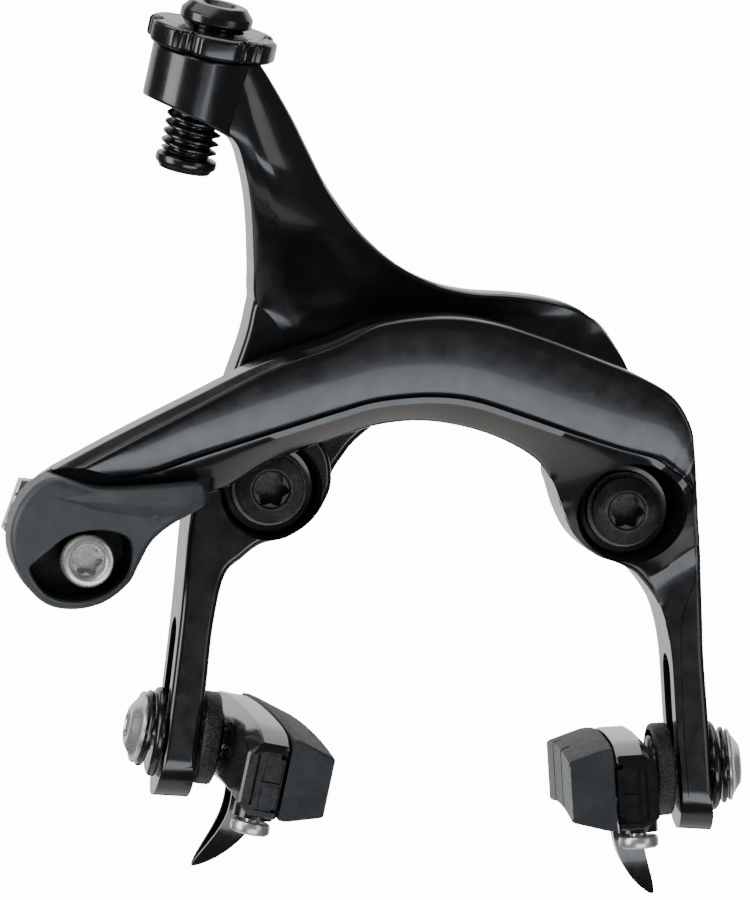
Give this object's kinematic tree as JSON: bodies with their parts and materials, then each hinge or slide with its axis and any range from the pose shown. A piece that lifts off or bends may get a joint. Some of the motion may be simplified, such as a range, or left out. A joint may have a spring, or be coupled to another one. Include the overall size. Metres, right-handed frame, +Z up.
{
  "type": "rim brake caliper",
  "caption": "Direct-mount dual-pivot road rim brake caliper with crossed arms, barrel adjuster, quick-release cam lever and cartridge pads.",
  "frame": {"origin": "midway between the two mounting bolts, on the face that meets the bicycle frame", "axes": "+X to the viewer's right seen from the front, +Y into the bicycle frame, +Z up"},
  "size_m": [0.1206, 0.0539, 0.1354],
  "materials": {
    "anodised_black": "glossy black anodised",
    "gloss_black": "glossy black",
    "satin_grey": "satin dark grey",
    "stainless": "bright machined",
    "black_oxide": "satin black oxide",
    "bush_bronze": "plain",
    "textured_black": "fine moulded texture",
    "pad_rubber": "matte"
  },
  "bodies": {
    "mounting": {"bridge_plate": "anodised_black", "left_pivot_sleeve": "stainless", "right_pivot_sleeve": "stainless", "left_mount_bolt": "black_oxide", "right_mount_bolt": "black_oxide", "left_mount_washer": "black_oxide", "right_mount_washer": "black_oxide", "left_return_spring": "stainless", "right_return_spring": "stainless"},
    "rear_arm": {"rear_arm": "anodised_black", "left_pivot_bush": "bush_bronze", "sync_roller_pin": "stainless"},
    "front_arm": {"front_arm": "anodised_black", "right_pivot_bush": "bush_bronze"},
    "sync_roller": {"sync_roller": "stainless"},
    "centring_screw": {"centring_screw": "stainless"},
    "quick_release": {"quick_release_lever": "satin_grey", "anchor_bolt": "stainless", "cable_clamp_plate": "stainless"},
    "adjuster_carriage": {"cable_ferrule": "anodised_black"},
    "adjuster": {"adjuster_barrel": "anodised_black", "adjuster_dial": "anodised_black"},
    "left_pad_mount": {"left_pad_bolt": "stainless", "left_outer_cup_washer": "gloss_black", "left_outer_cone_washer": "gloss_black", "left_pad_spacer": "textured_black", "left_inner_cone_washer": "gloss_black"},
    "right_pad_mount": {"right_pad_bolt": "stainless", "right_outer_cup_washer": "gloss_black", "right_outer_cone_washer": "gloss_black", "right_pad_spacer": "textured_black", "right_inner_cone_washer": "gloss_black"},
    "left_shoe": {"left_pad_holder": "gloss_black", "left_pad_insert": "pad_rubber", "left_insert_screw": "stainless"},
    "right_shoe": {"right_pad_holder": "gloss_black", "right_pad_insert": "pad_rubber", "right_insert_screw": "stainless"}
  },
  "joints": [
    {"name": "front_arm_pivot", "type": "hinge", "parent": "mounting", "child": "front_arm", "pos_m": [0.028, -0.0095, 0], "axis": [0, 1, 0], "range_deg": [0, 9], "stiffness_Nm_per_rad": 0.6, "springref_deg": -20.05},
    {"name": "rear_arm_pivot", "type": "hinge", "parent": "mounting", "child": "rear_arm", "pos_m": [-0.028, -0.0095, 0], "axis": [0, 1, 0], "range_deg": [-9, 0]},
    {"name": "sync_roller_spin", "type": "hinge", "parent": "rear_arm", "child": "sync_roller", "pos_m": [0.001, -0.0196, 0.0215], "axis": [0, 1, 0], "continuous": true},
    {"name": "centring_screw_turn", "type": "hinge", "parent": "rear_arm", "child": "centring_screw", "pos_m": [0.0196, -0.0088, 0.0296], "axis": [0.4695, 0, 0.8829], "range_deg": [-180, 180]},
    {"name": "quick_release_turn", "type": "hinge", "parent": "front_arm", "child": "quick_release", "pos_m": [-0.059, -0.02, -0.0087], "axis": [0, 1, 0], "range_deg": [0, 135]},
    {"name": "adjuster_travel", "type": "slide", "parent": "rear_arm", "child": "adjuster_carriage", "axis": [0.1209, -0.1293, 0.9842], "range_m": [0, 0.00425]},
    {"name": "adjuster_turn", "type": "hinge", "parent": "adjuster_carriage", "child": "adjuster", "pos_m": [-0.0432, -0.0266, 0.0731], "axis": [0.1209, -0.1293, 0.9842], "range_deg": [0, 1080]},
    {"name": "left_pad_height", "type": "slide", "parent": "rear_arm", "child": "left_pad_mount", "axis": [0.061, 0, 0.9981], "range_m": [-0.0015, 0.011]},
    {"name": "right_pad_height", "type": "slide", "parent": "front_arm", "child": "right_pad_mount", "axis": [-0.1288, 0, 0.9917], "range_m": [-0.0015, 0.011]},
    {"name": "left_pad_pitch", "type": "hinge", "parent": "left_pad_mount", "child": "left_shoe", "pos_m": [-0.03895, -0.0095, -0.0396], "axis": [0.9903, 0.0415, -0.1323], "range_deg": [-8, 8]},
    {"name": "right_pad_pitch", "type": "hinge", "parent": "right_pad_mount", "child": "right_shoe", "pos_m": [0.0419, -0.0095, -0.0402], "axis": [-0.9874, 0.0864, -0.1323], "range_deg": [-8, 8]}
  ],
  "couplings": [
    {"joint": "rear_arm_pivot", "follows": "front_arm_pivot", "ratio": -1},
    {"joint": "adjuster_travel", "follows": "adjuster_turn", "m_per_rad": 0.00022282}
  ]
}
